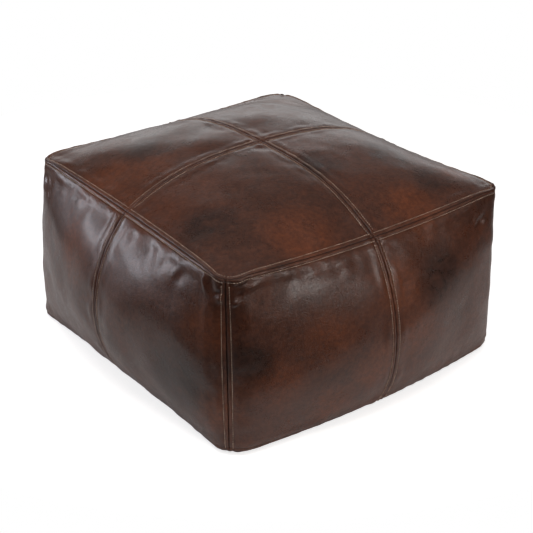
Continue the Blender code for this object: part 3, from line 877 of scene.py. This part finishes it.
# Rings of one stitch: place along its half length, radius share, height over the leather in radii.
STITCH_RINGS = ((-1.0, 0.55, -1.25), (-0.78, 1.0, 0.45), (-0.30, 1.05, 0.95), (0.30, 1.05, 0.95),
                (0.78, 1.0, 0.45), (1.0, 0.55, -1.25))
NEAR_GROOVE = 0.0026  # a row stops this far from a seam that it runs into,
SHORT_OF_ROW = 0.0105  # or this far, if it ends at that seam's own row,
ABOVE_BASE = 0.0040  # and this far above the base seam


def row_line(panel, edge, start, stop):
    """The line of a row beside one edge of a panel: points and normals, from start to stop."""
    upright = edge in ("left", "right")
    place = ROW if edge in ("left", "low") else -1 - ROW
    take = np.s_[:, place] if upright else np.s_[place]
    before, after = (panel.low, panel.high) if upright else (panel.left, panel.right)
    along = before[take]
    length = (before + after)[take][0]
    keep = (along > start) & (along < length - stop)
    return panel.points[take][keep], panel.out[take][keep]


def stitches(lines, seed):
    """Separate stitches laid along the lines: points, faces and a shade for each stitch."""
    rng = np.random.default_rng(seed)
    points, faces, shades = [], [], []
    angles = 2 * math.pi * np.arange(THREAD_SIDES) / THREAD_SIDES
    for line, normals in lines:
        length = running_length(line)
        count = max(int(round(length[-1] / STITCH_PITCH)), 1)
        pitch = length[-1] / count
        for number in range(count):
            half = 0.5 * pitch * rng.uniform(0.74, 0.82)
            middle = (number + 0.5) * pitch + rng.uniform(-0.0001, 0.0001)
            slant = rng.normal(0.00008, 0.00005)
            first = len(points) * THREAD_SIDES
            for share, radius, height in STITCH_RINGS:
                at = middle + share * half
                here, up = at_length(line, length, at), at_length(normals, length, at)
                forward = at_length(line, length, at + STEP) - at_length(line, length, at - STEP)
                aside = np.cross(forward, up)
                aside /= np.linalg.norm(aside)
                centre = here + aside * slant * share * 2 + up * height * THREAD_RADIUS
                ring = np.outer(np.cos(angles), aside) + np.outer(np.sin(angles), up)
                points.append(centre + THREAD_RADIUS * radius * ring)
            for k in range(len(STITCH_RINGS) - 1):
                for m in range(THREAD_SIDES):
                    ring_start = first + k * THREAD_SIDES
                    a, b = ring_start + m, ring_start + (m + 1) % THREAD_SIDES
                    faces.append((a, b, b + THREAD_SIDES, a + THREAD_SIDES))
            last = first + (len(STITCH_RINGS) - 1) * THREAD_SIDES
            faces.append(tuple(range(first + THREAD_SIDES - 1, first - 1, -1)))
            faces.append(tuple(range(last, last + THREAD_SIDES)))
            shades.extend([rng.random()] * (len(STITCH_RINGS) * THREAD_SIDES))
    return np.concatenate(points), faces, shades


def add_stitches(node, lines, seed):
    points, faces, shades = stitches(lines, seed)
    mesh = mesh_from(node, points, faces)
    store(mesh, "shade", shades)
    add_piece(f"{node}_thread", mesh, thread, "cover", node, slot="waxed_thread")


# On the top the middle seam from front to back is the continuous one, and its rows run unbroken.
for number, (across, edge) in enumerate((("left", "right"), ("right", "left"))):
    rows = [row_line(top_panels["front", across], edge, SHORT_OF_ROW, NEAR_GROOVE),
            row_line(top_panels["back", across], edge, NEAR_GROOVE, SHORT_OF_ROW)]
    add_stitches(f"topstitch_long_{across}", rows, 10 + number)
for number, (depth, edge) in enumerate((("front", "high"), ("back", "low"))):
    for across in ("left", "right"):
        row = row_line(top_panels[depth, across], edge, SHORT_OF_ROW, SHORT_OF_ROW)
        add_stitches(f"topstitch_cross_{depth}_{across}", [row], 20 + 2 * number + (across == "left"))
rim = []
for (depth, across), panel in top_panels.items():
    lying_edge = "low" if depth == "front" else "high"
    for edge, outer_first in ((lying_edge, across == "left"), (across, depth == "front")):
        ends = (STITCH_INSET, NEAR_GROOVE) if outer_first else (NEAR_GROOVE, STITCH_INSET)
        rim.append(row_line(panel, edge, *ends))
add_stitches("topstitch_rim_top", rim, 30)
add_stitches("topstitch_rim_sides",
             [row_line(panel, "high", NEAR_GROOVE, NEAR_GROOVE) for panel in side_panels.values()], 31)
for number, ((face, half), panel) in enumerate(side_panels.items()):
    first_half = HALVES[face][0] == half
    for where in ("middle", "corner"):
        edge = "right" if first_half == (where == "middle") else "left"
        row = row_line(panel, edge, ABOVE_BASE, SHORT_OF_ROW)
        add_stitches(f"topstitch_{face}_{half}_{where}", [row], 40 + 2 * number + (where == "middle"))
zip_y = np.arange(-SLOT_CLOSED, SLOT_CLOSED, 0.002)
for number, (side, sign) in enumerate((("left", -1), ("right", 1))):
    zip_x = np.full_like(zip_y, sign * ZIP_STITCH_X)
    line = np.stack((zip_x, zip_y, channel_height(ZIP_STITCH_X, zip_y)), axis=1)
    downwards = np.tile((0.0, 0.0, -1.0), (len(line), 1))
    add_stitches(f"zip_stitch_{side}", [(line, downwards)], 60 + number)

# ---- Zip, lying upside down: the slider and its pull hang under the base ----
CLEARANCE = 0.0003
COIL_HALF_LENGTH = 0.212
COIL_INNER, COIL_OUTER = 0.00065, 0.0033
COIL_BOTTOM, COIL_TOP = 0.0055, 0.0077
COIL_PITCH = 0.0013
COIL_WIRE = 0.0003
COIL_SIDES, COIL_STEPS = 5, 14  # points round the wire, and along one turn
TAPE_INNER, TAPE_OUTER = 0.0010, 0.0160
TAPE_THICKNESS = 0.0006
TAPE_HALF_LENGTH = 0.219
TAPE_STATIONS = (TAPE_INNER, 0.0016, 0.0024, 0.0034, 0.0050, 0.0075, 0.0100, 0.0130, 0.0152, TAPE_OUTER)
TAPE_RIB, TAPE_RIB_X, TAPE_RIB_Y, TAPE_RIB_END = 0.00012, 0.0006, 0.0011, 0.0145
STOP_LENGTH = 0.0022
SLIDER_Y = 0.2045
SLIDER_HALF_LENGTH, SLIDER_HALF_WIDTH, SLIDER_PLATE = 0.0045, 0.0044, 0.0009
PLATE_LOW, PLATE_HIGH = 0.0043, 0.0089
POST_HALF = 0.00035
SUNK = 0.0002  # how far a box of the slider reaches into the next, or stays short of its edge
SLIDER_ROUND, STOP_ROUND = 0.0006, 0.0004
BAIL_HALF_WIDTH, BAIL_HALF_LENGTH, BAIL_LEG, BAIL_BAR = 0.0008, 0.0037, 0.0010, 0.0009
BAIL_OPENING = 0.0019
PIVOT_Z = PLATE_LOW - BAIL_OPENING / 2
PULL_LENGTH, PULL_HALF_WIDTH, PULL_THICKNESS = 0.026, 0.0035, 0.0012
PULL_NECK_HALF, PULL_WINDOW_HALF, PULL_WINDOW_END = 0.0026, 0.0012, 0.0047
PULL_HOLE, PULL_ROUND, PULL_BEVEL = 0.0012, 0.0006, 0.00022


def coil_mesh(name, sign):
    """One side's spiral, its loops squashed to fit beside the other's."""
    turns = int(2 * COIL_HALF_LENGTH / COIL_PITCH) - 1
    angle = np.linspace(0, 2 * math.pi * turns, COIL_STEPS * turns)
    middle_x, middle_z = (COIL_INNER + COIL_OUTER) / 2, (COIL_BOTTOM + COIL_TOP) / 2
    reach_x = (COIL_OUTER - COIL_INNER) / 2 - COIL_WIRE
    reach_z = (COIL_TOP - COIL_BOTTOM) / 2 - COIL_WIRE
    start = -COIL_HALF_LENGTH + COIL_WIRE + (0.5 * COIL_PITCH if sign > 0 else 0.0)
    path = np.stack((sign * (middle_x + reach_x * np.cos(angle)),
                     start + COIL_PITCH * angle / (2 * math.pi),
                     middle_z + reach_z * np.sin(angle)), axis=1)
    tangent = np.gradient(path, axis=0)
    tangent /= np.linalg.norm(tangent, axis=1, keepdims=True)
    outward = np.stack((sign * np.cos(angle), np.zeros_like(angle), np.sin(angle)), axis=1)
    side = np.cross(tangent, outward)
    side /= np.linalg.norm(side, axis=1, keepdims=True)
    outward = np.cross(side, tangent)
    ring = 2 * math.pi * np.arange(COIL_SIDES) / COIL_SIDES
    points = path[:, None] + COIL_WIRE * (np.cos(ring)[:, None] * outward[:, None]
                                          + np.sin(ring)[:, None] * side[:, None])
    index = index_grid(len(path), COIL_SIDES)
    index = np.concatenate((index, index[:, :1]), axis=1)  # each ring closes on its first point
    faces = quads_of(index).tolist()
    last = (len(path) - 1) * COIL_SIDES
    faces += [list(range(COIL_SIDES - 1, -1, -1)), list(range(last, last + COIL_SIDES))]
    return mesh_from(name, points.reshape(-1, 3), faces)


def tape_mesh(name, sign):
    """A ribbed tape, lying on the inside of the leather."""
    x = np.array(TAPE_STATIONS)
    y = np.linspace(-TAPE_HALF_LENGTH, TAPE_HALF_LENGTH, 260)
    xx, yy = np.meshgrid(x if sign > 0 else -x[::-1], y)
    z = channel_height(np.maximum(np.abs(xx), SLOT_HALF), 0 * yy) + LEATHER + CLEARANCE
    ribs = 1 + np.sin(yy / TAPE_RIB_Y) * np.sin(xx / TAPE_RIB_X)
    z = z + TAPE_RIB * ribs * (np.abs(xx) < TAPE_RIB_END)
    points = np.stack((xx, yy, z), axis=-1).reshape(-1, 3)
    return mesh_from(name, points, quads_of(index_grid(*xx.shape)))


def rounded_boxes(name, boxes, radius):
    """One mesh of boxes with rounded edges, each given by its lowest and highest corners."""
    whole = bmesh.new()
    for low, high in boxes:
        low, high = Vector(low), Vector(high)
        made = bmesh.ops.create_cube(whole, size=1.0)["verts"]
        for vertex in made:
            vertex.co = Vector(lerp(l, h, c + 0.5) for l, h, c in zip(low, high, vertex.co))
        edges = list({edge for vertex in made for edge in vertex.link_edges})
        bevel = min(radius, 0.35 * min(high - low))
        bmesh.ops.bevel(whole, geom=edges, offset=bevel, segments=3, profile=0.5, affect="EDGES")
    mesh = bpy.data.meshes.new(name)
    whole.to_mesh(mesh)
    whole.free()
    mesh.shade_smooth()
    return mesh


def slider_boxes():
    low, high = PLATE_LOW, PLATE_HIGH
    half_width, half_length = SLIDER_HALF_WIDTH, SLIDER_HALF_LENGTH
    boxes = [((-half_width, -half_length, low), (half_width, half_length, low + SLIDER_PLATE)),
             ((-half_width, -half_length, high), (half_width, half_length, high + SLIDER_PLATE)),
             ((-POST_HALF, half_length / 2, low + SUNK), (POST_HALF, half_length - SUNK, high + SUNK))]
    bail_low = low - BAIL_OPENING - BAIL_BAR
    for sign in (-1, 1):
        near, far = sorted((sign * (COIL_OUTER + CLEARANCE), sign * (half_width - 0.0001)))
        boxes.append(((near, -half_length + SUNK, low + SUNK), (far, half_length - SUNK, COIL_TOP)))
        near, far = sorted((sign * (BAIL_HALF_LENGTH - BAIL_LEG), sign * BAIL_HALF_LENGTH))
        boxes.append(((-BAIL_HALF_WIDTH, near, bail_low), (BAIL_HALF_WIDTH, far, low + SUNK)))
    boxes.append(((-BAIL_HALF_WIDTH, -BAIL_HALF_LENGTH + SUNK, bail_low),
                  (BAIL_HALF_WIDTH, BAIL_HALF_LENGTH - SUNK, bail_low + BAIL_BAR)))
    return [[(x, y + SLIDER_Y, z) for x, y, z in box] for box in boxes]


def arc(centre, radius, start, stop, count=7):
    turns = np.radians(np.linspace(start, stop, count))
    return [(centre[0] + radius * math.cos(t), centre[1] + radius * math.sin(t)) for t in turns]


def pull_mesh(name):
    """A flat tab with rounded ends and edges; the bail passes through its window."""
    half, wide, bevel = PULL_THICKNESS / 2, PULL_HALF_WIDTH, PULL_BEVEL
    inset = PULL_NECK_HALF - PULL_ROUND
    outline = arc((-inset, half - PULL_ROUND), PULL_ROUND, 180, 90)
    outline += arc((inset, half - PULL_ROUND), PULL_ROUND, 90, 0)
    outline += [(wide, -PULL_WINDOW_END - 2 * half)]
    outline += arc((0.0, -PULL_LENGTH + wide), wide, 0, -180, 17)
    outline += [(-wide, -PULL_WINDOW_END - 2 * half)]
    window = [(-PULL_WINDOW_HALF, -half), (PULL_WINDOW_HALF, -half),
              (PULL_WINDOW_HALF, -PULL_WINDOW_END), (-PULL_WINDOW_HALF, -PULL_WINDOW_END)]
    hole = arc((0.0, -PULL_LENGTH + wide), PULL_HOLE, 0, 330, 12)
    curve = bpy.data.curves.new(name, "CURVE")
    curve.dimensions, curve.fill_mode = "2D", "BOTH"
    curve.extrude, curve.bevel_depth, curve.bevel_resolution = half - bevel, bevel, 2
    curve.offset = -bevel
    for loop in (outline, window, hole):
        spline = curve.splines.new("POLY")
        spline.points.add(len(loop) - 1)
        for target, (x, y) in zip(spline.points, loop):
            target.co = (x, y, 0.0, 1.0)
        spline.use_cyclic_u = True
    holder = bpy.data.objects.new(name, curve)
    bpy.context.scene.collection.objects.link(holder)
    solid = holder.evaluated_get(bpy.context.evaluated_depsgraph_get())
    mesh = bpy.data.meshes.new_from_object(solid)
    bpy.data.objects.remove(holder)
    mesh.transform(Matrix.Translation((0.0, SLIDER_Y, PIVOT_Z)))
    mesh.materials.clear()
    return mesh


def add_stop(node, low_x, high_x, start_y):
    low, high = (low_x, start_y, COIL_BOTTOM), (high_x, start_y + STOP_LENGTH, COIL_TOP)
    add_metal(node, rounded_boxes(node, [(low, high)], STOP_ROUND))


def add_metal(node, mesh, body="cover"):
    add_piece(f"{node}_metal", mesh, brass, body, node, slot="antique_brass")


stop_y = COIL_HALF_LENGTH + CLEARANCE
for side, sign in (("left", -1), ("right", 1)):
    coil, tape = f"zip_coil_{side}", f"zip_tape_{side}"
    add_piece(f"{coil}_spiral", coil_mesh(coil, sign), nylon, "cover", coil, slot="zip_coil")
    woven = add_piece(f"{tape}_woven", tape_mesh(tape, sign), tape_cloth, "cover", tape, slot="zip_tape")
    thicken(woven, TAPE_THICKNESS - SUNK, 1)
    add_stop(f"zip_top_stop_{side}", *sorted((sign * COIL_INNER, sign * COIL_OUTER)), stop_y)
add_stop("zip_bottom_stop", -COIL_OUTER, COIL_OUTER, -stop_y - STOP_LENGTH)
add_metal("zip_slider", rounded_boxes("zip_slider", slider_boxes(), SLIDER_ROUND), "zip_slider")
add_metal("zip_pull", pull_mesh("zip_pull"), "zip_pull")

# ---- Calico bag and cotton filling, inside the cover ----
HEART = np.array((0.0, 0.0, 0.160))
LINER_SCALE = (0.958, 0.958, 0.925)
FILLING_SCALE = (0.945, 0.945, 0.905)


def add_inner(name, scale, size, height, seed, material, nodes, slot):
    shape = HEART + (cage_points - HEART) * np.array(scale)
    creased = np.abs(lumps(shape, size, seed)) - 0.8
    shape = shape - np.clip(height * (0.5 - creased), 0, 2.5 * height)[:, None] * cage_normals
    mesh = mesh_from(name, shape, cage_quads)
    piece = add_piece(name, mesh, material, "cover", *nodes, slot=slot)


add_inner("liner_bag", LINER_SCALE, 0.050, 0.0008, 71, calico,
          [f"liner_{face}" for face in (*FACES, "top", "base")], "calico")
add_inner("cotton_wadding", FILLING_SCALE, 0.035, 0.0006, 72, cotton, ["cotton_filling"], "cotton_filling")

# ---- Studio ----
AIM = Vector((0.0, 0.0, 0.1594))
DISTANCE = 1.9895
AZIMUTH, ELEVATION = math.radians(-36.42), math.radians(25.58)
LIT_POINT = Vector((0.0, 0.0, 0.22))  # what the softboxes face
FLOOR_RADIUS = 0.95
FLOOR_CENTRE = (0.26, 0.35, -0.0006)
FLOOR_GLOW = 0.07
FLOOR_GLOW_SEEN = 0.75
ROOM_GLOW = 0.035
CEILING_GLOW = 0.22
BACKDROP_GLOW = 1.12
BACKDROP_SPREAD = (0.79, 0.97)  # cosine from the middle of the backdrop where it starts and is full
BACKDROP_TOP = (0.50, 0.24)  # sine of the elevation where it has faded out, and where it is full
COOL = (0.88, 0.91, 1.0)
WARM_WHITE = (1.0, 0.94, 0.90)
BACKDROP_FOOT = (-0.15, 0.0)  # the same, below the horizon
CEILING_START = (0.3, 1.0)


def direction(azimuth, elevation):
    """From the pouf outwards; azimuth 0 is the front."""
    level = math.cos(elevation)
    return Vector((math.sin(azimuth) * level, -math.cos(azimuth) * level, math.sin(elevation)))


def add_camera():
    data = bpy.data.cameras.new("studio_camera")
    data.sensor_width = 36.0
    data.lens = 80.56
    data.shift_x = 0.01027
    data.shift_y = -0.03676
    camera = bpy.data.objects.new("studio_camera", data)
    back = direction(AZIMUTH, ELEVATION)
    camera.location = AIM + back * DISTANCE
    camera.rotation_mode = "QUATERNION"
    camera.rotation_quaternion = (-back).to_track_quat("-Z", "Y")
    bpy.context.scene.collection.objects.link(camera)
    bpy.context.scene.camera = camera


def add_floor():
    bpy.ops.mesh.primitive_circle_add(vertices=96, radius=FLOOR_RADIUS, fill_type="NGON",
                                      location=FLOOR_CENTRE)
    floor = bpy.context.object
    floor.name = "studio_floor"
    p = Paint("pale_floor")
    paper = p.noise(40.0, 3.0)
    p.set(p.shader.inputs["Emission Color"], rgb(1, 1, 1))
    seen = p.add("LightPath").outputs["Is Camera Ray"]
    p.set(p.shader.inputs["Emission Strength"], p.ramp(seen, 0.0, 1.0, FLOOR_GLOW, FLOOR_GLOW_SEEN))
    p.finish(p.mix(paper, rgb(0.86, 0.86, 0.86), rgb(0.90, 0.90, 0.90)), 0.8, p.bump(paper, 0.0002))
    floor.data.materials.append(p.material)


def add_world():
    """A dim room with a bright backdrop behind the pouf; the camera sees plain white."""
    world = bpy.data.worlds.new("studio_light")
    world.use_nodes = True
    p = Nodes(world.node_tree)
    ray = p.add("TexCoord").outputs["Generated"]
    toward = p.vector_math("DOT_PRODUCT", ray, (math.sin(-AZIMUTH), math.cos(AZIMUTH), 0.0))["Value"]
    height = p.add("SeparateXYZ", {0: ray}).outputs["Z"]
    wall = p.product(p.ramp(toward, *BACKDROP_SPREAD), p.ramp(height, *BACKDROP_TOP))
    wall = p.product(p.product(wall, p.ramp(height, *BACKDROP_FOOT)), BACKDROP_GLOW)
    light = p.math("ADD", wall, p.ramp(height, *CEILING_START, ROOM_GLOW, CEILING_GLOW))
    seen = p.add("LightPath").outputs["Is Camera Ray"]
    strength = p.add("Mix", {0: seen, 2: light, 3: 1.0}, data_type="FLOAT").outputs[0]
    background = p.tree.nodes["Background"]
    p.set(background.inputs["Strength"], strength)
    p.set(background.inputs["Color"], rgb(1, 1, 1))
    bpy.context.scene.world = world


def add_softbox(name, azimuth, elevation, distance, size, radiance, colour, roll=0.0, glossy=True):
    """An area light that faces the pouf, from a direction in degrees."""
    width, height = size
    toward = direction(math.radians(azimuth), math.radians(elevation))
    light = bpy.data.lights.new(name, "AREA")
    light.shape, light.size, light.size_y = "RECTANGLE", width, height
    light.energy = radiance * math.pi * width * height
    light.color = colour
    lamp = bpy.data.objects.new(name, light)
    lamp.location = LIT_POINT + toward * distance
    lamp.rotation_mode = "QUATERNION"
    turned = Quaternion((0.0, 0.0, 1.0), math.radians(roll))
    lamp.rotation_quaternion = (-toward).to_track_quat("-Z", "Y") @ turned
    lamp.visible_camera = False
    lamp.visible_glossy = glossy
    bpy.context.scene.collection.objects.link(lamp)


add_camera()
add_floor()
add_world()
add_softbox("softbox_left", -136, 12, 2.2, (1.15, 0.36), 9.6, COOL, roll=-20)
add_softbox("softbox_right", 15, 16, 2.2, (1.00, 0.32), 8.6, WARM_WHITE, roll=28)
add_softbox("softbox_high", -46, 60, 2.2, (0.70, 0.50), 7.0, WARM_WHITE)
add_softbox("overhead_fill", -36, 75, 2.4, (2.0, 2.0), 1.35, WARM_WHITE, glossy=False)
bpy.context.scene.view_settings.view_transform = "Standard"
